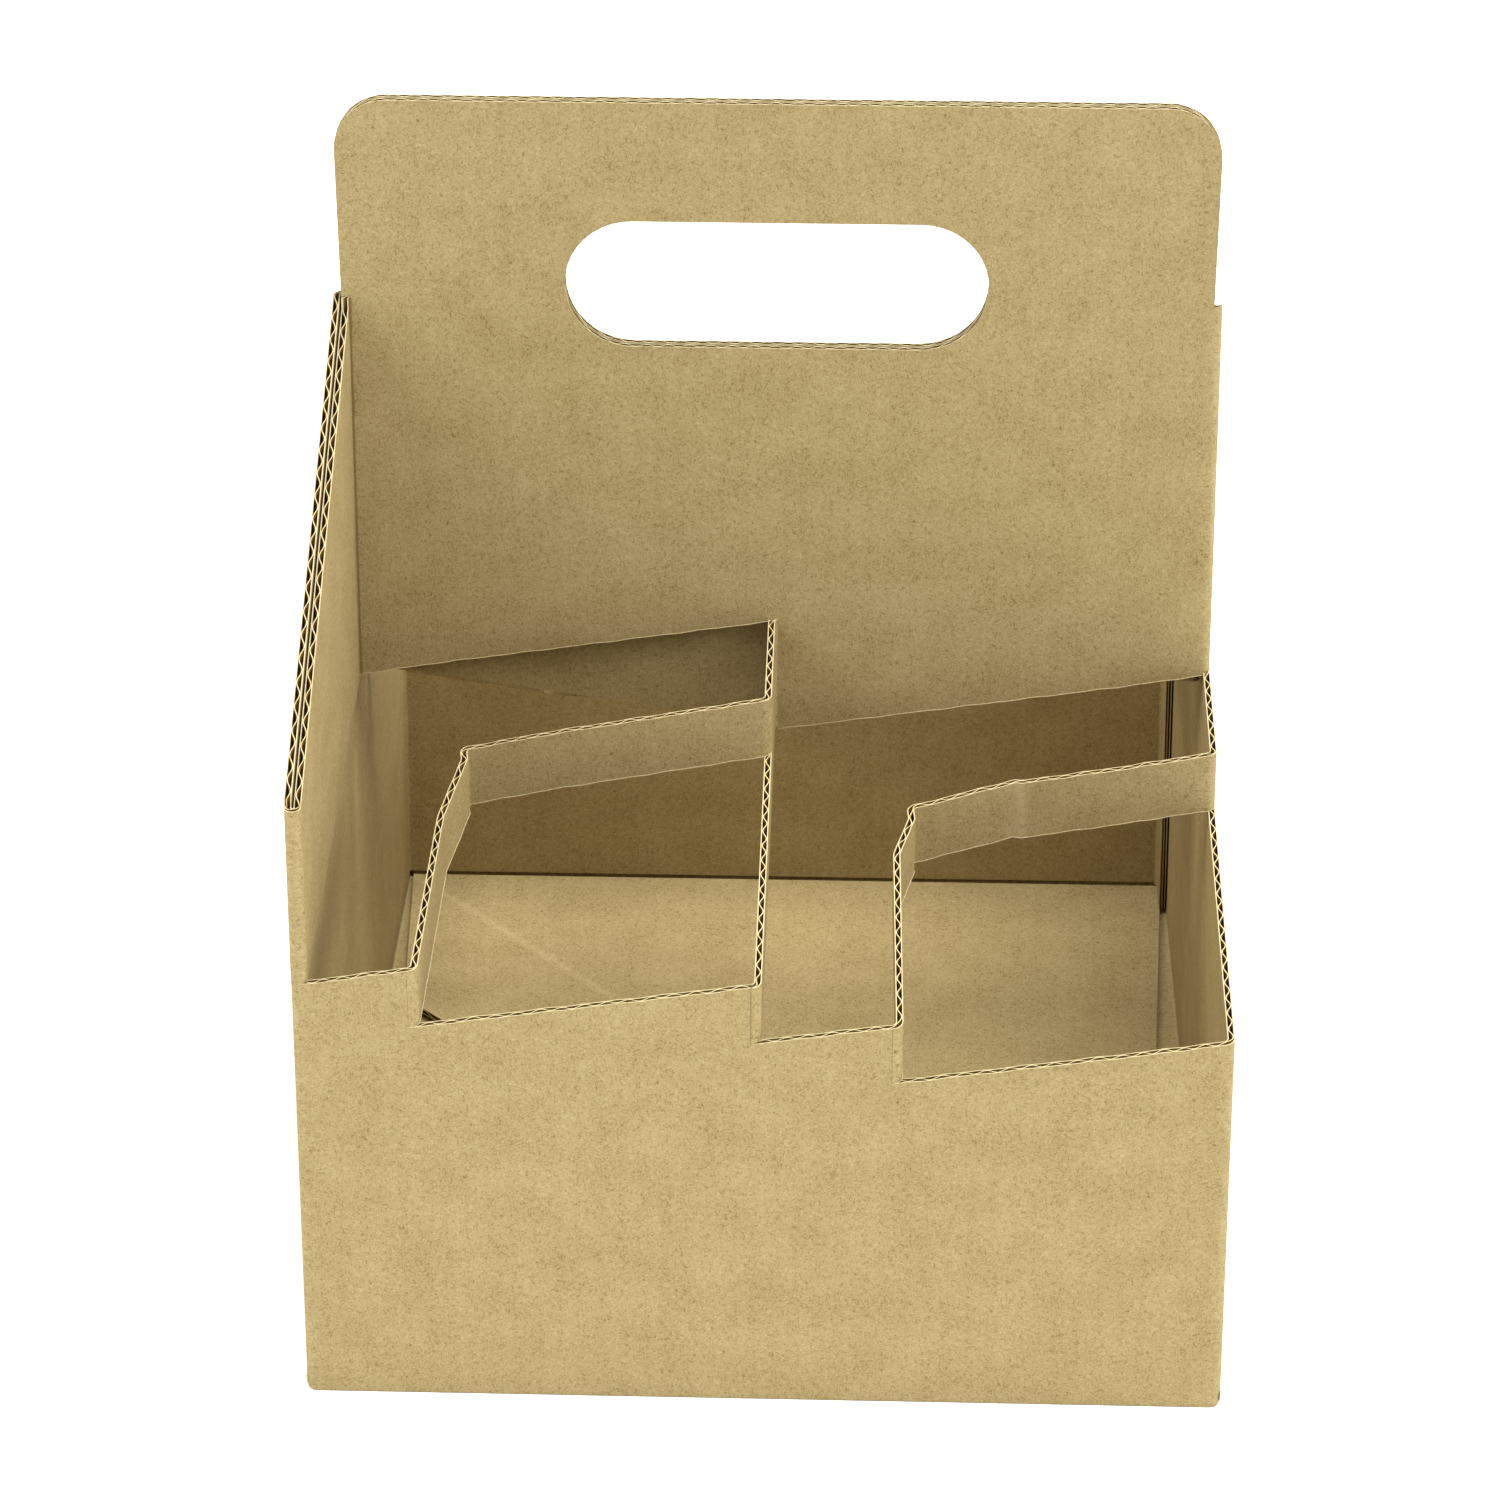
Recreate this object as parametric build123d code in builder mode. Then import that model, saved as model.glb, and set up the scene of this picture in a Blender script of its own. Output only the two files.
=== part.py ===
"""Carrier for four cups, folded from one die-cut blank of corrugated board."""
import os

from build123d import *

# Driving dimensions, in millimetres
board = 1.6
fold_inner = 0.7
crease_round = 1.2
ply_gap = 0.5

body_width = 210.0
body_depth = 220.0
corner_height = 111.5
strap_height = 14.8
cut_rise_share = 0.159

pocket_width = 75.0
pocket_depth = 78.5
divider_inset = 104.0
arm_lean = 5.0
arm_shortfall = 4.5

wall_lean = 4.0
slope_foot = 156.0
shoulder_height = 227.0
carrier_height = 275.0
handle_inset = 2.0
handle_corner_share = 0.25
slot_length = 96.0
slot_height = 31.0
slot_drop = 28.5

glue_tab_width = 14.0
side_flap_reach = 70.0
lock_step = 12.0
seam_gap = 0.8
flap_corner = 45.0
flap_gap_back = 1.0
flap_gap_front = 5.0
overrun = 5.0

# Places that follow from them: the middle of the base is the origin, +Y runs to the back
left = -body_width / 2
right = body_width / 2
front = -body_depth / 2
back = body_depth / 2
fold_outer = fold_inner + board
fold_middle = fold_inner + board / 2
divider_x = left + divider_inset
arm_places = [divider_x - pocket_width, right - pocket_width]
inner_leaf_x = left + board * 1.5 + ply_gap
handle_leaf_y = -(board + ply_gap) / 2
leaf_front = handle_leaf_y - board / 2 - fold_inner
above_shoulder = carrier_height - shoulder_height
handle_corner = handle_corner_share * above_shoulder
handle_width = body_width - 2 * (wall_lean + handle_inset)
base_top = board * 2
leaf_reach = base_top + ply_gap + fold_outer + wall_lean
wall_foot = board + fold_outer


def lean(side, rise):
    """The way a side wall leans inward over this rise; side is 1 for the left wall and -1 for the right one."""
    return Vector(side * wall_lean * rise / (shoulder_height - wall_foot), 0, rise)


def cut_height(rank, along):
    """Height of a slanted cut: rank counts straps below the top cut, along runs from the front left corner."""
    return corner_height - rank * strap_height + cut_rise_share * along


# The tube of four walls, front half: a rounded ring with its top edges cut to the slanted lines
arm_runs = [place - left for place in arm_places]
with BuildPart() as walls:
    for side in (1, -1):
        way = lean(side, shoulder_height - wall_foot)
        with BuildSketch(Plane.XY.offset(wall_foot)):
            RectangleRounded(body_width, body_depth, fold_outer)
            RectangleRounded(body_width - 2 * board, body_depth - 2 * board, fold_inner, mode=Mode.SUBTRACT)
            with Locations((0, back), (side * right, 0)):
                Rectangle(body_width, body_depth, mode=Mode.SUBTRACT)
        extrude(amount=way.length, dir=way)
    with BuildSketch(Plane.XZ.offset(-front - fold_outer)):
        with BuildLine():
            Polyline(
                (left - overrun, cut_height(0, 0)),
                (left, cut_height(0, 0)),
                (arm_places[0], cut_height(0, arm_runs[0])),
                (arm_places[0], cut_height(1, arm_runs[0])),
                (divider_x, cut_height(1, divider_inset)),
                (divider_x, cut_height(2, divider_inset)),
                (arm_places[1], cut_height(2, arm_runs[1])),
                (arm_places[1], cut_height(3, arm_runs[1])),
                (right, cut_height(3, body_width)),
                (right + overrun, cut_height(3, body_width)),
                (right + overrun, carrier_height),
                (left - overrun, carrier_height),
                close=True,
            )
        make_face()
    extrude(amount=fold_outer + overrun, mode=Mode.SUBTRACT)
    with BuildSketch(Plane.YZ.offset(right - fold_outer - wall_lean)):
        with BuildLine():
            Polyline(
                (front - overrun, cut_height(3, body_width)),
                (front, cut_height(3, body_width)),
                (front + pocket_depth, cut_height(3, body_width + pocket_depth)),
                (front + pocket_depth, cut_height(2, body_width + pocket_depth)),
                (0, cut_height(2, body_width + back)),
                (overrun, cut_height(2, body_width + back)),
                (overrun, carrier_height),
                (front - overrun, carrier_height),
                close=True,
            )
        make_face()
    extrude(amount=fold_outer + wall_lean + overrun, mode=Mode.SUBTRACT)
    front_creases = (
        walls.edges()
        .filter_by(Axis.Z)
        .filter_by_position(Axis.Y, front - overrun, front + board / 4)
        .filter_by_position(Axis.X, arm_places[0] - board, arm_places[1] + board)
    )
    fillet(front_creases, radius=crease_round)

# The inner leaf and the handle leaf of the front half: one ribbon of board standing on edge
with BuildPart() as leaves:
    for side in (1, -1):
        way = lean(side, carrier_height - wall_foot)
        with BuildSketch(Plane.XY.offset(wall_foot)):
            with BuildLine():
                FilletPolyline(
                    (inner_leaf_x, front + fold_outer),
                    (inner_leaf_x, handle_leaf_y),
                    (right - board / 2, handle_leaf_y),
                    (right - board / 2, fold_outer),
                    radius=fold_middle,
                )
            trace(line_width=board)
            with Locations((side * right, 0)):
                Rectangle(body_width, body_depth, mode=Mode.SUBTRACT)
        extrude(amount=way.length, dir=way)
    with BuildSketch(Plane.YZ.offset(left)):
        with BuildLine():
            Polyline(
                (front - overrun, 0),
                (leaf_front, 0),
                (leaf_front, cut_height(0, leaf_front - front)),
                (front, cut_height(0, 0)),
                (front - overrun, cut_height(0, 0)),
                close=True,
            )
        make_face()
    extrude(amount=leaf_reach, mode=Mode.SUBTRACT)
    with BuildSketch(Plane.XZ.offset(-overrun)):
        with BuildLine():
            Polyline(
                (left, 0),
                (right + overrun, 0),
                (right + overrun, cut_height(2, body_width + back)),
                (right, cut_height(2, body_width + back)),
                (divider_x, cut_height(2, divider_inset + back)),
                (divider_x, cut_height(0, divider_inset + back)),
                (left, cut_height(0, back)),
                close=True,
            )
        make_face()
    extrude(amount=overrun - leaf_front, mode=Mode.SUBTRACT)
    with BuildSketch(Plane.XZ.offset(-back)):
        with Locations((0, shoulder_height + above_shoulder)):
            Rectangle(body_width + 2 * overrun, 2 * above_shoulder)
        with Locations((0, carrier_height - above_shoulder)):
            RectangleRounded(
                handle_width, 2 * above_shoulder, handle_corner, mode=Mode.SUBTRACT
            )
    extrude(amount=body_depth, mode=Mode.SUBTRACT)

# The bend that joins the left wall to its inner leaf, above the front panel
bend_radius = (board + ply_gap) / 2
with BuildPart() as bend:
    bend_y = front + bend_radius + board / 2
    bend_shift = lean(1, corner_height - wall_foot).X
    wall_x = left + board / 2 + bend_shift
    leaf_x = inner_leaf_x + bend_shift
    way = lean(1, shoulder_height - corner_height)
    with BuildSketch(Plane.XY.offset(corner_height)):
        with BuildLine():
            Polyline((wall_x, front + 2 * fold_outer), (wall_x, bend_y))
            ThreePointArc((wall_x, bend_y), (wall_x + bend_radius, bend_y - bend_radius), (leaf_x, bend_y))
            Polyline((leaf_x, bend_y), (leaf_x, front + 2 * fold_outer))
        trace(line_width=board)
    extrude(amount=way.length, dir=way)


# Arms, straps and the cross divider: upright strips of board between two slanted cuts
def strip_points(length, along, top, bottom):
    """Outline of a strip on its own plane, for a run that starts this far along the blank."""
    return [
        (0, cut_height(bottom, along)),
        (length, cut_height(bottom, along + length)),
        (length, cut_height(top, along + length)),
        (0, cut_height(top, along)),
    ]


strap_shift = lean(-1, cut_height(2, body_width + pocket_depth)).X
strap_ends = [divider_x, right - board / 2 + strap_shift]
with BuildPart() as straps:
    for side in range(len(arm_places)):
        rank = 2 * side
        crease = Vector(arm_places[side], front + board)
        arm_tip = Vector(arm_places[side] + arm_lean, front + pocket_depth - arm_shortfall)
        arm_way = (arm_tip - crease).normalized()
        to_middle = Vector(0, 0, 1).cross(arm_way) * (board / 2)
        arm_start = crease + to_middle - arm_way * (board / 2)
        arm_end = arm_tip + to_middle
        strap_end = Vector(strap_ends[side], front + pocket_depth)
        arm_run = arm_end - arm_start
        strap_run = strap_end - arm_end
        for start, run, along in (
            (arm_start, arm_run, arm_runs[side]),
            (arm_end, strap_run, arm_runs[side] + arm_run.length),
        ):
            with BuildSketch(Plane(start, x_dir=run, z_dir=run.cross(Vector(0, 0, 1)))):
                with BuildLine():
                    Polyline(*strip_points(run.length, along, rank, rank + 1), close=True)
                make_face()
            extrude(amount=board / 2, both=True)
        bead_along = arm_runs[side] + arm_run.length
        with BuildSketch(Plane.XY.offset(cut_height(rank + 1, bead_along))):
            with Locations(arm_end):
                Circle(board / 2)
        extrude(amount=strap_height)
    with BuildSketch(Plane.YZ.offset(divider_x - board / 2)):
        with BuildLine():
            Polyline(
                (front + crease_round, cut_height(2, divider_inset)),
                (front + crease_round, cut_height(1, divider_inset)),
                (front + pocket_depth, cut_height(1, divider_inset + pocket_depth)),
                (front + pocket_depth, cut_height(0, divider_inset + pocket_depth)),
                (handle_leaf_y, cut_height(0, divider_inset + back)),
                (handle_leaf_y, cut_height(2, divider_inset + back)),
                close=True,
            )
        make_face()
    extrude(amount=board / 2, both=True)

# The left bottom flap, folded in under the others, with both corners cut at 45 degrees
flap_length = body_depth - 2 * fold_outer
with BuildPart() as side_flap:
    with BuildSketch(Plane.XZ):
        with BuildLine():
            FilletPolyline(
                (left + board / 2, wall_foot),
                (left + board / 2, board / 2),
                (left + side_flap_reach, board / 2),
                radius=fold_middle,
            )
        trace(line_width=board)
    extrude(amount=flap_length / 2, both=True)
    corner_cut = side_flap_reach - fold_outer
    with BuildSketch(Plane.XY):
        for end in (1, -1):
            with BuildLine():
                Polyline(
                    (left + fold_outer, end * flap_length / 2),
                    (left + side_flap_reach, end * flap_length / 2),
                    (left + side_flap_reach, end * (flap_length / 2 - corner_cut)),
                    close=True,
                )
            make_face()
    extrude(amount=board, mode=Mode.SUBTRACT)

# The back bottom flap, which lies on the side flaps and locks into its twin along a stepped seam
with BuildPart() as long_flap:
    with BuildSketch(Plane.YZ):
        with BuildLine():
            FilletPolyline(
                (back - board / 2, wall_foot + fold_outer),
                (back - board / 2, base_top - board / 2),
                (-lock_step, base_top - board / 2),
                radius=fold_middle,
            )
        trace(line_width=board)
    extrude(amount=body_width / 2 - fold_outer, both=True)
    near_side = left + board + flap_gap_front
    seam_y = lock_step + seam_gap / 2
    hook_y = -lock_step + seam_gap / 2
    with BuildSketch(Plane.XY.offset(board)):
        with BuildLine():
            Polyline(
                (left + board + flap_gap_back, back),
                (near_side, flap_corner),
                (near_side + flap_corner - seam_y, seam_y),
                (-lock_step, seam_y),
                (lock_step, hook_y),
                (-near_side - lock_step, hook_y),
                (-near_side, hook_y + lock_step),
                (right - board - flap_gap_back, back),
                close=True,
            )
        make_face()
    extrude(amount=wall_foot + fold_outer, mode=Mode.INTERSECT)

# The glue tab of the back panel, inside the right wall
with BuildPart() as glue_tab:
    tab_x = right - board * 1.5 - ply_gap
    way = lean(-1, corner_height - base_top)
    with BuildSketch(Plane.XY.offset(base_top)):
        with BuildLine():
            FilletPolyline(
                (tab_x, back - glue_tab_width),
                (tab_x, back - board / 2),
                (tab_x - fold_outer, back - board / 2),
                radius=fold_middle,
            )
        trace(line_width=board)
    extrude(amount=way.length, dir=way)

# The whole carrier: the half and its twin, turned half a turn about the upright axis
half_turn = Location((0, 0, 0), (0, 0, 180))
with BuildPart() as carrier:
    for turn in (Location(), half_turn):
        add(walls.part.moved(turn))
        add(leaves.part.moved(turn))
        add(straps.part.moved(turn))
        add(side_flap.part.moved(turn))
        add(long_flap.part.moved(turn))
    add(bend.part)
    add(glue_tab.part)
    for turn in (1, -1):
        with BuildSketch(Plane.YZ.offset(turn * left)):
            with BuildLine():
                Polyline(
                    (turn * front, slope_foot),
                    (turn * leaf_front, shoulder_height),
                    (turn * leaf_front, carrier_height),
                    (turn * (front - overrun), carrier_height),
                    (turn * (front - overrun), slope_foot),
                    close=True,
                )
            make_face()
        extrude(amount=turn * leaf_reach, mode=Mode.SUBTRACT)
    with BuildSketch(Plane.XZ.offset(-fold_outer)):
        with Locations((0, carrier_height - slot_drop - slot_height / 2)):
            SlotOverall(slot_length, slot_height)
    extrude(amount=2 * fold_outer, mode=Mode.SUBTRACT)
carrier.part.label = "carrier"

os.makedirs("parts", exist_ok=True)
export_step(carrier.part, "parts/carrier.step")
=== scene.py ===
"""Carrier for four cups, folded from one blank of corrugated kraft board, dressed round its CAD solid."""

import math

import bmesh
import bpy
from mathutils import Matrix, Vector


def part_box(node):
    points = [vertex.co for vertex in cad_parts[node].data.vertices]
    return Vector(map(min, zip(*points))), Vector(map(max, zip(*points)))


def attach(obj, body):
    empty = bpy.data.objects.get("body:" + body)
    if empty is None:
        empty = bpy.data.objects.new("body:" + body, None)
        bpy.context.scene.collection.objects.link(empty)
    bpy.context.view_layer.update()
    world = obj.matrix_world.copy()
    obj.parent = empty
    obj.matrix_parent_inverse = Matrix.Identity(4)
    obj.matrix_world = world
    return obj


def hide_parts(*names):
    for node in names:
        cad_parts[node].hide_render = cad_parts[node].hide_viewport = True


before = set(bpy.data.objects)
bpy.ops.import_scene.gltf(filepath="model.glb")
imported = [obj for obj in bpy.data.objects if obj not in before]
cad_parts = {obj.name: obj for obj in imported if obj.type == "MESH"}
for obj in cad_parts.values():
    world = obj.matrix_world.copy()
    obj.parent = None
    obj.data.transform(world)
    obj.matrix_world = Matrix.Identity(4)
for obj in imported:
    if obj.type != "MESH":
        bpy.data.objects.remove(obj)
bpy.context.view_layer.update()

# Outer walls: a tube of four panels in single-wall corrugated kraft board, die-cut along slanted lines.
# Two smooth liners are glued to a wavy sheet, with the flutes upright, and each corner is a rounded fold.
# At the front and back bottom folds the outer liner runs on nearly to the table, as a lip with round corners.
low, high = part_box("carrier")
half_width = high.x
half_depth = high.y
carrier_height = high.z
board = 0.0016
liner = 0.00022
flute_pitch = 0.0049
fold = 0.0015
ply_gap = 0.0005
corner_height = 0.1115
strap_height = 0.0148
cut_rise_share = 0.159
cut_wobble = 0.00008
coarse_waver = 0.0023
fine_waver = 0.0013
pocket_width = 0.075
pocket_depth = 0.0785
divider_inset = 0.104
wall_lean = 0.004
lean_begins = 0.08
lean_reach = 0.02
liner_slot = 0
fluting_slot = 1
edge_slot = 3
slope_foot = 0.156
shoulder_height = 0.227
left_wall = -half_width + board / 2
right_wall = half_width - board / 2
front_wall = -half_depth + board / 2
flap_level = board * 1.5
panel_foot = flap_level + fold
arm_insets = (divider_inset - pocket_width, 2 * half_width - pocket_width)
handle_leaf = -(board + ply_gap) / 2


def cut(rank, along):
    """Height of a slanted cut: rank counts straps below the top cut, along runs from the front left corner.

    The die crushes the flutes as it cuts, so the edge wavers a little.
    """
    waver = cut_wobble * (math.sin(along / coarse_waver + 2 * rank) + math.sin(along / fine_waver + rank))
    return corner_height - rank * strap_height + cut_rise_share * along + waver


def slope(y):
    """Height of a tall wall's sloping edge, from its foot at the front to the shoulder in the middle."""
    return shoulder_height + (slope_foot - shoulder_height) * min(1, max(0, -y / half_depth))


def fold_route(points, radius=fold):
    """Route of the board's middle, with a fold at each inner point.

    It holds the start, the heading, and pieces that each have a length and a bend.
    """
    points = [Vector(point) for point in points]
    runs = [end - start for start, end in zip(points, points[1:])]
    pieces = []
    trim = 0
    for run, following in zip(runs, runs[1:] + runs[-1:]):
        turn = math.atan2(run.cross(following), run.dot(following))
        before = trim
        trim = radius * math.tan(abs(turn) / 2)
        pieces.append((max(0, run.length - before - trim), 0))
        if turn:
            pieces.append((radius * abs(turn), math.copysign(1 / radius, turn)))
    return points[0], math.atan2(runs[0].y, runs[0].x), pieces


def route_length(route):
    return sum(length for length, turn in route[2])


def stand(route, along):
    """Place this far along a route, and the direction that the board's outer face looks there."""
    (x, y), way, pieces = route
    for length, turn in pieces:
        step = min(along, length)
        along -= step
        if turn:
            x += (math.sin(way + step * turn) - math.sin(way)) / turn
            y -= (math.cos(way + step * turn) - math.cos(way)) / turn
            way += step * turn
        else:
            x += step * math.cos(way)
            y += step * math.sin(way)
    return (x, y), (math.sin(way), -math.cos(way))


def upright(route, lean=wall_lean):
    """Surface of board that stands on edge along its route and, towards the sides, leans in."""
    def place(along, z):
        (x, y), (out_x, out_y) = stand(route, along)
        aside = min(1, max(0, abs(x) - lean_begins) / lean_reach)
        share = aside * max(0, z - panel_foot) / (shoulder_height - panel_foot)
        return Vector((x - math.copysign(lean * share, x), y, z)), Vector((out_x, out_y, 0))
    return place


def breaks(route, start, end, marks=()):
    """Distances along a route that need a column of points: its ends, its folds and any marks."""
    places = {start, end}
    places.update(mark for mark in marks if start < mark < end)
    done = 0
    for length, turn in route[2]:
        steps = 5 if turn else 1
        for k in range(steps + 1):
            place = done + length * k / steps
            if start < place < end:
                places.add(place)
        done += length
    return sorted(places)


def add_board(sheets, surface, places, lower, upper, rows=6, begin=0, burr_and_highlight=0, crush=0, outer_only=False):
    """Adds both liners and the wavy sheet of one stretch of board, which begins this far along the blank.

    The burr is a narrow pale strip on the outer liner along the lower edge: partly the liner that the die has
    pressed out, partly a painted highlight for the light that the cut edge catches.
    Crush is the share of its thickness that a scored fold has lost, all from the inner side.
    The outer liner alone is for a place where it hangs over the board's edge.
    Liners face away from the wavy sheet, so that their backs take the darker fluting paper, whose colour also
    paints shade into the deep flute gaps.
    """
    blank = sheets.loops.layers.uv.verify()
    skin = (board - liner) / 2
    swing = (board - 3 * liner) / 2
    plies = [(skin, 0, flute_pitch / 2, 0)]
    if not outer_only:
        plies += [(-skin, 0, flute_pitch / 2, 0), (0, swing, flute_pitch / 8, 0)]
    if burr_and_highlight:
        plies.append((board / 2, 0, flute_pitch / 2, burr_and_highlight))
    for offset, wave, spacing, narrow in plies:
        columns = places[:1]
        for start, end in zip(places, places[1:]):
            count = math.ceil((end - start) / spacing)
            columns += [start + (end - start) * k / count for k in range(1, count + 1)]
        last = len(columns) - 1
        grid = bmesh.ops.create_grid(sheets, x_segments=last, y_segments=1 if narrow else rows, size=0.5)
        for vert in grid["verts"]:
            along = columns[round((vert.co.x + 0.5) * last)]
            across = lower(along) + (vert.co.y + 0.5) * (narrow or upper(along) - lower(along))
            point, outward = surface(along, across)
            depth = skin - offset - wave * math.cos(math.tau * (begin + along) / flute_pitch)
            vert.co = point + outward * (skin - depth * (1 - crush))
            for loop in vert.link_loops:
                loop[blank].uv = (begin + along, across)
        faces = list({face for vert in grid["verts"] for face in vert.link_faces})
        for face in faces:
            face.material_index = edge_slot if narrow else fluting_slot if wave else liner_slot
        vert.link_faces[0].normal_update()
        if vert.link_faces[0].normal.dot(outward) * offset < 0:
            bmesh.ops.reverse_faces(sheets, faces=faces)


front_route = fold_route(
    [
        (left_wall, front_wall + fold),
        (left_wall, front_wall),
        (right_wall, front_wall),
        (right_wall, -front_wall - fold),
    ]
)
walls = bmesh.new()
middle_along = route_length(front_route) + front_wall + 2 * fold + handle_leaf
panel_ends = (0, arm_insets[0] - fold, divider_inset - fold, arm_insets[1] - fold, middle_along)
for rank, (start, end) in enumerate(zip(panel_ends, panel_ends[1:])):
    places = breaks(front_route, start, end)
    add_board(walls, upright(front_route), places, lambda along: panel_foot, lambda along: cut(rank, along))
places = breaks(front_route, middle_along, route_length(front_route))
add_board(
    walls, upright(front_route), places, lambda along: panel_foot, lambda along: slope(middle_along - along)
)
fold_length = fold * math.pi / 2
front_end = 2 * half_width - board - 2 * fold + 2 * fold_length
lip = 0.0002
lip_round = fold + board / 2


def lip_edge(along):
    """Lower edge of the outer liner, which bulges down past the bottom fold and is rounded at the corners."""
    past = min(1, max(0, 1 - min(along, front_end - along) / fold_length))
    return lip + lip_round * (1 - math.sqrt(1 - past ** 2))


places = breaks(front_route, -fold, front_end + fold)
add_board(walls, upright(front_route), places, lip_edge, lambda along: panel_foot, rows=2, outer_only=True)


def linear(code):
    """Linear colour of an sRGB hex value."""
    channels = [int(code[k:k + 2], 16) / 255 for k in (1, 3, 5)]
    return [c / 12.92 if c <= 0.04045 else ((c + 0.055) / 1.055) ** 2.4 for c in channels] + [1]


def add_node(material, kind, settings, links):
    """Adds a node, sets its values and inputs by name or number, and links other nodes to its inputs."""
    node = material.node_tree.nodes.new(kind)
    for name, value in settings.items():
        if isinstance(name, int) or name in node.inputs:
            node.inputs[name].default_value = value
        else:
            setattr(node, name, value)
    for name, socket in links.items():
        material.node_tree.links.new(socket, node.inputs[name])
    return node


def kraft_paper(name, light, dark, fibre):
    """Unbleached kraft paper: matt, with soft clouds, a fine grain, fibres and faint flute lines.

    Clouds are about 11 mm across and the grain about 0.6 mm. Fibres are flecks of 0.26 by 1.8 mm, drawn
    coarser than real ones so that they show. A mesh attribute paints light and shade into the colour:
    above 0 it is a painted highlight along a crease or crumple, below 0 it is painted shade in a crease.
    """
    clouds_per_metre = 90.0
    grains_per_metre = 1700.0
    fleck_size = (0.00026, 0.0018, 1)
    paper = bpy.data.materials.new(name)
    paper.use_nodes = True
    shader = paper.node_tree.nodes["Principled BSDF"]
    shader.inputs["Roughness"].default_value = 0.88
    shader.inputs["Specular IOR Level"].default_value = 0.2
    blank = add_node(paper, "ShaderNodeUVMap", {}, {})
    flat = {"Vector": blank.outputs["UV"]}
    clouds = add_node(paper, "ShaderNodeTexNoise", {"Scale": clouds_per_metre, "Detail": 2.0}, flat)
    grain = add_node(
        paper, "ShaderNodeTexNoise", {"Scale": grains_per_metre, "Detail": 3.0, "Roughness": 0.7}, flat
    )
    flutes = add_node(paper, "ShaderNodeTexWave", {"Scale": math.tau / 20 / flute_pitch}, flat)
    # Painted light and shade, read from a mesh attribute and added into the tone below.
    painted_shading = add_node(paper, "ShaderNodeAttribute", {"attribute_name": "painted_shading"}, {})
    layers = [
        (clouds.outputs["Fac"], 0.5),
        (grain.outputs["Fac"], 1.1),
        (flutes.outputs["Fac"], 0.04),
        (painted_shading.outputs["Fac"], 0.18),
    ]
    for turn, weight in (
        (0.3, -0.26), (0.75, 0.18), (1.2, -0.26), (1.65, 0.18), (2.1, -0.26), (2.55, 0.18), (3.0, -0.26)
    ):
        spread = add_node(
            paper,
            "ShaderNodeMapping",
            {
                "vector_type": "TEXTURE",
                "Rotation": (0, 0, turn),
                "Scale": fleck_size,
                "Location": (turn, 0, 0),
            },
            flat,
        )
        strands = add_node(
            paper,
            "ShaderNodeTexNoise",
            {"Scale": 1.0, "Detail": 0.0, "Distortion": 0.5},
            {"Vector": spread.outputs["Vector"]},
        )
        fibres = add_node(
            paper, "ShaderNodeMapRange", {"From Min": 0.6, "From Max": 0.72}, {"Value": strands.outputs["Fac"]}
        )
        layers.append((fibres.outputs["Result"], weight))
    total = None
    for socket, weight in layers:
        links = {0: socket}
        if total:
            links[2] = total
        added = add_node(paper, "ShaderNodeMath", {"operation": "MULTIPLY_ADD", 1: weight, 2: 0}, links)
        total = added.outputs["Value"]
    tone = add_node(paper, "ShaderNodeMapRange", {"From Min": -0.02, "From Max": 1.28}, {"Value": total})
    ramp = add_node(paper, "ShaderNodeValToRGB", {}, {"Fac": tone.outputs["Result"]})
    ramp.color_ramp.elements[0].color = linear(fibre)
    ramp.color_ramp.elements[1].color = linear(light)
    ramp.color_ramp.elements.new(0.35).color = linear(dark)
    paper.node_tree.links.new(ramp.outputs["Color"], shader.inputs["Base Color"])
    return paper


# The liner is a light yellow brown and torn fibre makes cut edges pale. The fluting inside the board is darker,
# partly its own colour and partly painted shade for the deep gaps between flutes.
kraft = kraft_paper("kraft_liner", "#B2A075", "#8F7C4F", "#6A5731")
fluting_and_gap_shade = kraft_paper("fluting_medium_and_gap_shade", "#866A30", "#6E5424", "#553F18")
cut_edge = kraft_paper("cut_kraft_edge", "#C4B893", "#B4A47B", "#A09067")


def finish_board(name, sheets, twin=True):
    """Makes a piece of the sheets and, for most, of a twin half a turn round, and gives them thickness.

    The back of a sheet takes the next slot and its rim the last, so fluting is there twice.
    """
    if twin:
        copy = bmesh.ops.duplicate(sheets, geom=sheets.verts[:] + sheets.edges[:] + sheets.faces[:])
        turned = [item for item in copy["geom"] if isinstance(item, bmesh.types.BMVert)]
        bmesh.ops.rotate(sheets, cent=(0, 0, 0), matrix=Matrix.Rotation(math.pi, 3, "Z"), verts=turned)
    for edge in sheets.edges:
        edge.smooth = not edge.is_boundary
    for face in sheets.faces:
        face.smooth = True
    mesh = bpy.data.meshes.new(name)
    sheets.to_mesh(mesh)
    sheets.free()
    for paper in (kraft, fluting_and_gap_shade, fluting_and_gap_shade, cut_edge):
        mesh.materials.append(paper)
    piece = bpy.data.objects.new(name, mesh)
    bpy.context.scene.collection.objects.link(piece)
    thickness = piece.modifiers.new("paper", "SOLIDIFY")
    thickness.thickness = liner
    thickness.offset = 0
    thickness.material_offset = fluting_slot
    thickness.material_offset_rim = edge_slot
    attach(piece, "root")
    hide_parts("carrier")


finish_board("outer_walls", walls)

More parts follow.
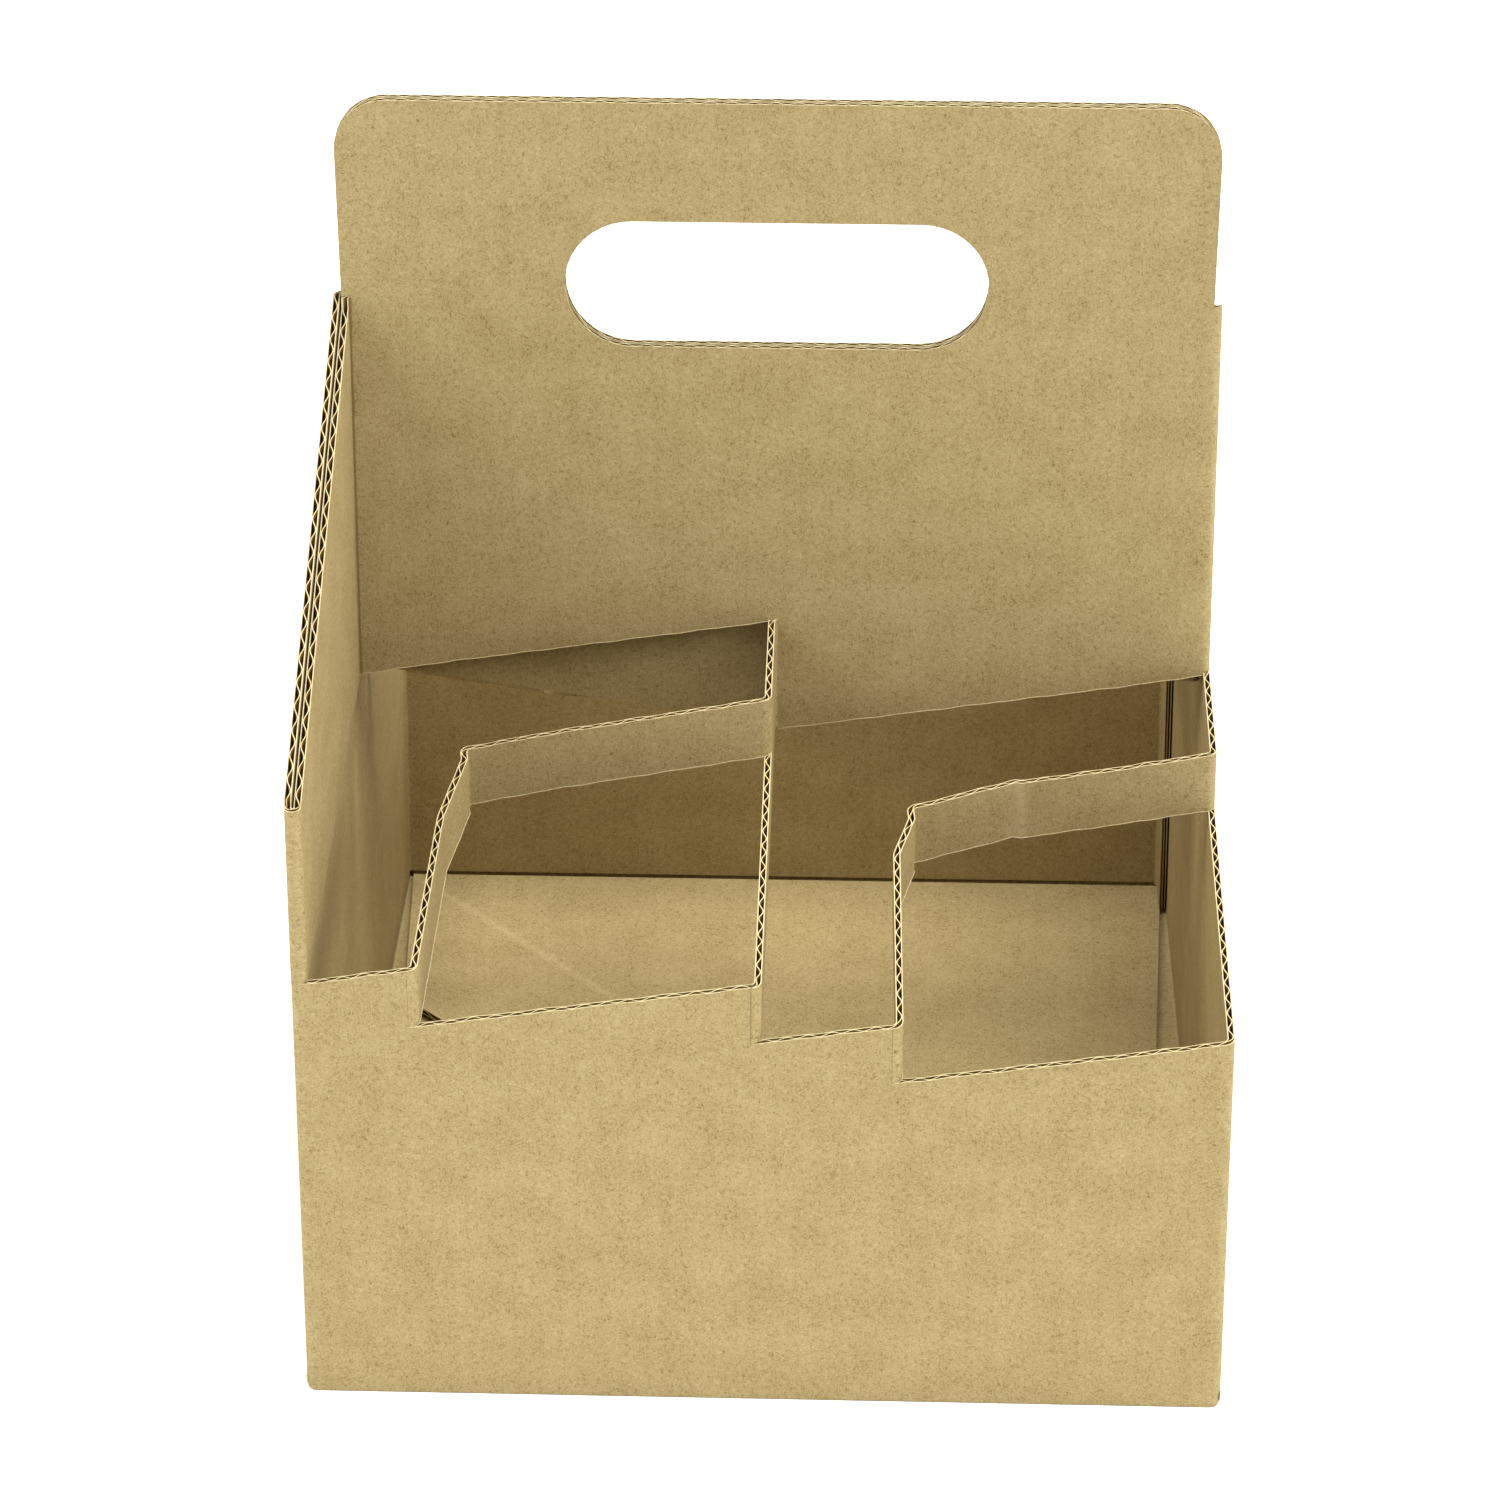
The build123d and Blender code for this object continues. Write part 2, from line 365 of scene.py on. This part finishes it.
# Leaves and handle: the board turns inward at the left front corner, runs back beside the tall wall and
# folds across the middle, where two leaves lie back to back. Corners and hand slot are die-cut.
handle_inset = 0.002
handle_corner = 0.012
slot_length = 0.096
slot_height = 0.031
slot_drop = 0.0285
crease_shade_reach = 0.0006
crease_painted_shade = -8
inner_leaf = left_wall + board + ply_gap
leaf_route = fold_route(
    [
        (inner_leaf, front_wall + fold),
        (inner_leaf, handle_leaf),
        (right_wall, handle_leaf),
        (right_wall, handle_leaf + fold),
    ]
)
leaf_turn = handle_leaf - front_wall - fold
slot_end = slot_length / 2
slot_round = slot_height / 2
slot_middle = carrier_height - slot_drop - slot_round
handle_end = half_width - wall_lean - handle_inset


def slot_half(x):
    """Half the slot's height at this distance from its middle."""
    past = max(0, abs(x) - slot_end + slot_round)
    return math.sqrt(max(0, slot_round ** 2 - past ** 2))


def handle_top(x):
    """Height of the handle's outline, with its rounded corners."""
    past = max(0, abs(x) - handle_end + handle_corner)
    return carrier_height - handle_corner + math.sqrt(max(0, handle_corner ** 2 - past ** 2))


def round_marks(end, radius):
    """Places on both sides of the middle at even turns of a quarter round that ends there."""
    reaches = [end - radius + radius * math.sin(math.radians(turn)) for turn in range(0, 90, 9)]
    return [side * reach for side in (-1, 1) for reach in reaches]


leaves = bmesh.new()
leaf_begin = 1.0
# Width of the pale strip along die-cut lower edges, partly a pressed-out liner and partly a painted highlight.
die_burr_and_highlight = 0.00015
places = breaks(leaf_route, 0, leaf_turn - fold)
add_board(
    leaves,
    upright(leaf_route),
    places,
    lambda along: cut(0, along),
    lambda along: slope(front_wall + along),
    begin=leaf_begin,
)
slot_along = leaf_turn - inner_leaf - fold * (2 - math.pi / 2)
divider_along = slot_along + divider_inset - half_width
leaf_ends = (
    leaf_turn - fold,
    slot_along - slot_end,
    divider_along + fold,
    slot_along + slot_end,
    route_length(leaf_route),
)
slot_marks = [slot_along + mark for mark in round_marks(slot_end, slot_round)]
for k, (start, end) in enumerate(zip(leaf_ends, leaf_ends[1:])):
    rank = 0 if k < 2 else 2
    in_slot = k in (1, 2)
    add_board(
        leaves,
        upright(leaf_route),
        breaks(leaf_route, start, end, slot_marks),
        lambda along: cut(rank, along),
        lambda along: slot_middle - slot_half(along - slot_along) if in_slot else shoulder_height,
        begin=leaf_begin,
        burr_and_highlight=die_burr_and_highlight,
    )
# Painted shade: a dark line along the fold where the inner leaf meets the handle, standing in for the shadow in
# that crease.
painted_shading = leaves.verts.layers.float.new("painted_shading")
for vert in leaves.verts:
    leant = wall_lean * (vert.co.z - panel_foot) / (shoulder_height - panel_foot)
    aside = abs(vert.co.x - leant - inner_leaf + vert.co.y - handle_leaf) / math.sqrt(2)
    vert[painted_shading] = crease_painted_shade * max(0, 1 - aside / crease_shade_reach)
handle_route = fold_route([(-handle_end, handle_leaf), (handle_end, handle_leaf)])
handle_marks = round_marks(slot_end, slot_round) + round_marks(handle_end, handle_corner)
for start, end in ((-handle_end, -slot_end), (-slot_end, slot_end), (slot_end, handle_end)):
    in_slot = start == -slot_end
    add_board(
        leaves,
        upright(handle_route, 0),
        breaks(handle_route, start + handle_end, end + handle_end, [handle_end + mark for mark in handle_marks]),
        lambda along: slot_middle + slot_half(along - handle_end) if in_slot else shoulder_height,
        lambda along: handle_top(along - handle_end),
        begin=leaf_begin + slot_along - handle_end,
    )
finish_board("leaves_and_handle", leaves)

# Corner bend: the round fold at the left front corner, where the board of the wall turns back into the leaf.
# It is the same corrugated board, and at the corner across from it the glue tab closes the blank.
bend = bmesh.new()
bend_route = fold_route(
    [
        (left_wall, front_wall + fold),
        (left_wall, front_wall),
        (inner_leaf, front_wall),
        (inner_leaf, front_wall + fold),
    ],
    (inner_leaf - left_wall) / 2,
)
places = breaks(bend_route, 0, route_length(bend_route))
add_board(bend, upright(bend_route), places, lambda along: corner_height, lambda along: slope_foot)
finish_board("corner_bend", bend, twin=False)

# Glue tab: the end of the blank, folded from the back panel and glued inside the right wall.
# It stands a little free of the wall, so a dark slit shows beside it.
tab_width = 0.014
tab_x = right_wall - board - ply_gap
tab_route = fold_route([(tab_x, half_depth - tab_width), (tab_x, -front_wall), (tab_x - 2 * fold, -front_wall)])
tab = bmesh.new()
places = breaks(tab_route, 0, route_length(tab_route) - fold)
add_board(tab, upright(tab_route), places, lambda along: 2 * board, lambda along: corner_height, begin=3.0)
finish_board("glue_tab", tab, twin=False)

# Straps and divider: bands of the front panel, cut free along the slanted lines and folded inward.
# Each arm runs back from a crease in the panel, turns into a strap and ends in the divider or the right wall.
arm_tips = (Vector((0.0046, -0.0044)), Vector((0.002, -0.006)))
arm_kinks = (
    ((0.68, Vector((-0.0016, 0))), (0.95, Vector((0.0009, 0)))),
    ((0.78, Vector((-0.0025, 0))), (0.95, Vector((0.0006, 0)))),
)
strap_kinks = (((0.3, Vector((0, 0.0008))),), ((0.335, Vector((0, 0.0038))), (0.36, Vector((0, 0.0029)))))
divider = divider_inset - half_width
strap_line = -half_depth + pocket_depth
divider_middle = divider_inset - 2 * fold + fold_length - front_wall
wall_middle = middle_along - handle_leaf - fold
straps = bmesh.new()
for side, inset in enumerate(arm_insets):
    crease = inset - half_width
    foot = Vector((crease, front_wall))
    tip = Vector((crease, strap_line)) + arm_tips[side]
    end = Vector(((divider, right_wall)[side], strap_line))
    points = [(crease - fold, front_wall), foot]
    points += [foot.lerp(tip, share) + shift for share, shift in arm_kinks[side]] + [tip]
    points += [tip.lerp(end, share) + shift for share, shift in strap_kinks[side]] + [end]
    strap_end = route_length(fold_route(points))
    if side == 0:
        points += [(end.x, handle_leaf), (end.x + fold, handle_leaf)]
    else:
        points.append((end.x, handle_leaf + fold))
    route = fold_route(points)
    begin = inset - fold
    level = stand(route, strap_end + fold)[0][1] - fold
    stretch = ((divider_middle, wall_middle)[side] + level - begin) / strap_end

    def on_blank(along):
        """Distance from the blank's front left corner; arm and strap are drawn a little short of it."""
        return begin + min(along, strap_end) * stretch + max(0, along - strap_end)

    # Arm and strap carry the pale strip, partly painted highlight, along their lower edge; the rest of the band
    # does not.
    for start, stop, burr_and_highlight_here in ((0, strap_end, die_burr_and_highlight), (strap_end, route_length(route), 0)):
        add_board(
            straps,
            upright(route),
            breaks(route, start, stop),
            lambda along: cut(2 * side + 1, on_blank(along)),
            lambda along: cut(2 * side, on_blank(along)),
            rows=3,
            begin=begin,
            burr_and_highlight=burr_and_highlight_here,
        )
route = fold_route(
    [(divider - fold, front_wall), (divider, front_wall), (divider, handle_leaf), (divider + fold, handle_leaf)]
)
add_board(
    straps,
    upright(route),
    breaks(route, 0, route_length(route)),
    lambda along: cut(2, divider_inset - fold + along),
    lambda along: cut(1, divider_inset - fold + along),
    rows=3,
    begin=divider_inset - fold,
)
crumple_share = 0.3475
crumple_depth = 0.01
crumple_reach = 0.0024
crumple_painted_highlight = 4
# Painted highlight: a pale band down the crumple in the second strap, where its bent board catches the light.
painted_shading = straps.verts.layers.float.new("painted_shading")
crumple = tip.lerp(end, crumple_share)
for vert in straps.verts:
    if abs(vert.co.y - crumple.y) < crumple_depth:
        vert[painted_shading] = crumple_painted_highlight * max(0, 1 - abs(vert.co.x - crumple.x) / crumple_reach)
finish_board("straps_and_divider", straps)

# Bottom flaps: the side flaps fold in first, with corners cut at 45 degrees. The long flaps lie on them
# and lock into each other along a stepped seam, and a crease runs out from one corner of each.
side_flap_reach = 0.07
lock_step = 0.012
seam_gap = 0.0008
flap_corner = 0.045
flap_gap_front = 0.008
flap_gap_back = 0.001
crease_lift = 0.035
crease_ridge = 0.00005
ridge_reach = 0.002
ridge_painted_highlight = 1.5
score_crush = 0.75


def laid(profile, splay=0):
    """Surface of a front flap: its profile folds from the panel's foot, and the flap widens towards that fold."""
    def place(x, down):
        (y, z), (out_y, out_z) = stand(profile, down)
        return Vector((x * (1 + splay * (1 - down / half_depth)), y, z)), Vector((0, out_y, out_z))
    return place


def between(x, outline):
    """Height at x of an outline given by its points from left to right."""
    for (x0, y0), (x1, y1) in zip(outline, outline[1:]):
        if x <= x1:
            return y0 + (y1 - y0) * max(0, x - x0) / (x1 - x0)
    return outline[-1][1]


flaps = bmesh.new()
flap_end = half_width - board - flap_gap_front
flap_splay = (flap_gap_front - flap_gap_back) / flap_end
seam = lock_step - seam_gap / 2
long_outline = [
    (-flap_end, -seam_gap / 2),
    (-flap_end + lock_step, seam),
    (-lock_step, seam),
    (lock_step, -lock_step - seam_gap / 2),
    (flap_end - flap_corner + lock_step + seam_gap / 2, -lock_step - seam_gap / 2),
    (flap_end, -flap_corner),
]
profile = fold_route([(front_wall, panel_foot), (front_wall, flap_level), (seam, flap_level)])
places = [x for x, y in long_outline]
add_board(flaps, laid(profile, flap_splay), places, lambda x: 0, lambda x: fold_length, rows=5, crush=score_crush)
add_board(
    flaps,
    laid(profile, flap_splay),
    places,
    lambda x: fold_length,
    lambda x: between(x, long_outline) - front_wall - fold + fold_length,
    begin=2.0,
)
crease_way = Vector((1, 1, 0)).normalized()
corner = Vector((half_width, -half_depth, 0))
for reach in (-ridge_reach, 0, ridge_reach):
    everything = flaps.verts[:] + flaps.edges[:] + flaps.faces[:]
    bmesh.ops.bisect_plane(flaps, geom=everything, plane_co=corner + reach * crease_way, plane_no=crease_way)
# Painted highlight: a pale band along the crease's ridge, as the light on its bent board; the same band also
# raises the ridge.
painted_shading = flaps.verts.layers.float.new("painted_shading")
for vert in flaps.verts:
    past = (vert.co - corner).dot(crease_way)
    vert[painted_shading] = ridge_painted_highlight * max(0, 1 - abs(past) / ridge_reach)
    if vert.co.y > front_wall + fold:
        vert.co.z += crease_lift * max(0, past) + crease_ridge * vert[painted_shading]
finish_board("long_flaps", flaps)

# Side flaps: the lower pair of the same board, folded in from the side walls under the long flaps.
# Their corners are cut at 45 degrees, and the carrier stands on them.
side_flaps = bmesh.new()
side_end = half_depth - board / 2
side_reach = left_wall + side_flap_reach
side_corner = side_end - side_flap_reach + fold
side_outline = [
    (-side_end, fold),
    (-side_corner, side_flap_reach),
    (side_corner, side_flap_reach),
    (side_end, fold),
]
profile = fold_route([(left_wall, panel_foot), (left_wall, board / 2), (side_reach, board / 2)])
side_turn = panel_foot - board / 2 - fold + fold_length
places = [y for y, x in side_outline]
for lower, upper, rows in (
    (lambda y: 0, lambda y: side_turn, 6),
    (lambda y: side_turn, lambda y: between(y, side_outline) - fold + side_turn, 4),
):
    def place(y, down):
        (x, z), (out_x, out_z) = stand(profile, down)
        return Vector((x, y, z)), Vector((out_x, 0, out_z))
    add_board(side_flaps, place, places, lower, upper, rows, begin=4.0)
finish_board("side_flaps", side_flaps)

# Stage: a pale floor under soft light from above and in front, as in a plain product picture.
bpy.ops.mesh.primitive_plane_add(size=12)
floor = bpy.context.object
floor.name = "floor"
pale = bpy.data.materials.new("pale_floor")
pale.use_nodes = True
pale.node_tree.nodes["Principled BSDF"].inputs["Base Color"].default_value = linear("#E8E8E6")
pale.node_tree.nodes["Principled BSDF"].inputs["Roughness"].default_value = 0.9
floor.data.materials.append(pale)
world = bpy.data.worlds.new("studio")
bpy.context.scene.world = world
world.use_nodes = True
world.node_tree.nodes["Background"].inputs["Color"].default_value = (1, 1, 1, 1)
world.node_tree.nodes["Background"].inputs["Strength"].default_value = 0.35
for name, place, energy in (
    ("overhead_light", (0.1, -0.05, 1), 4.0),
    ("right_light", (1, -0.22, 1), 2.65),
    ("left_light", (-1, -0.22, 1), 2.35),
):
    light_data = bpy.data.lights.new(name, "SUN")
    light_data.energy = energy
    light_data.angle = math.radians(40)
    light = bpy.data.objects.new(name, light_data)
    light.location = place
    light.rotation_euler = (-light.location).to_track_quat("-Z", "Y").to_euler()
    bpy.context.scene.collection.objects.link(light)
bpy.context.scene.view_settings.view_transform = "Standard"

# Camera: a long lens in front of the carrier, looking down at about 30 degrees.
camera_data = bpy.data.cameras.new("camera")
camera_data.lens = 103.19
camera_data.sensor_width = 36
camera_data.shift_x = -0.0074
camera_data.shift_y = -0.1
camera = bpy.data.objects.new("camera", camera_data)
camera.location = (0.0233, -0.8893, 0.6342)
camera.rotation_euler = (math.radians(90 - 28.598), 0, math.radians(1.731))
bpy.context.scene.collection.objects.link(camera)
bpy.context.scene.camera = camera
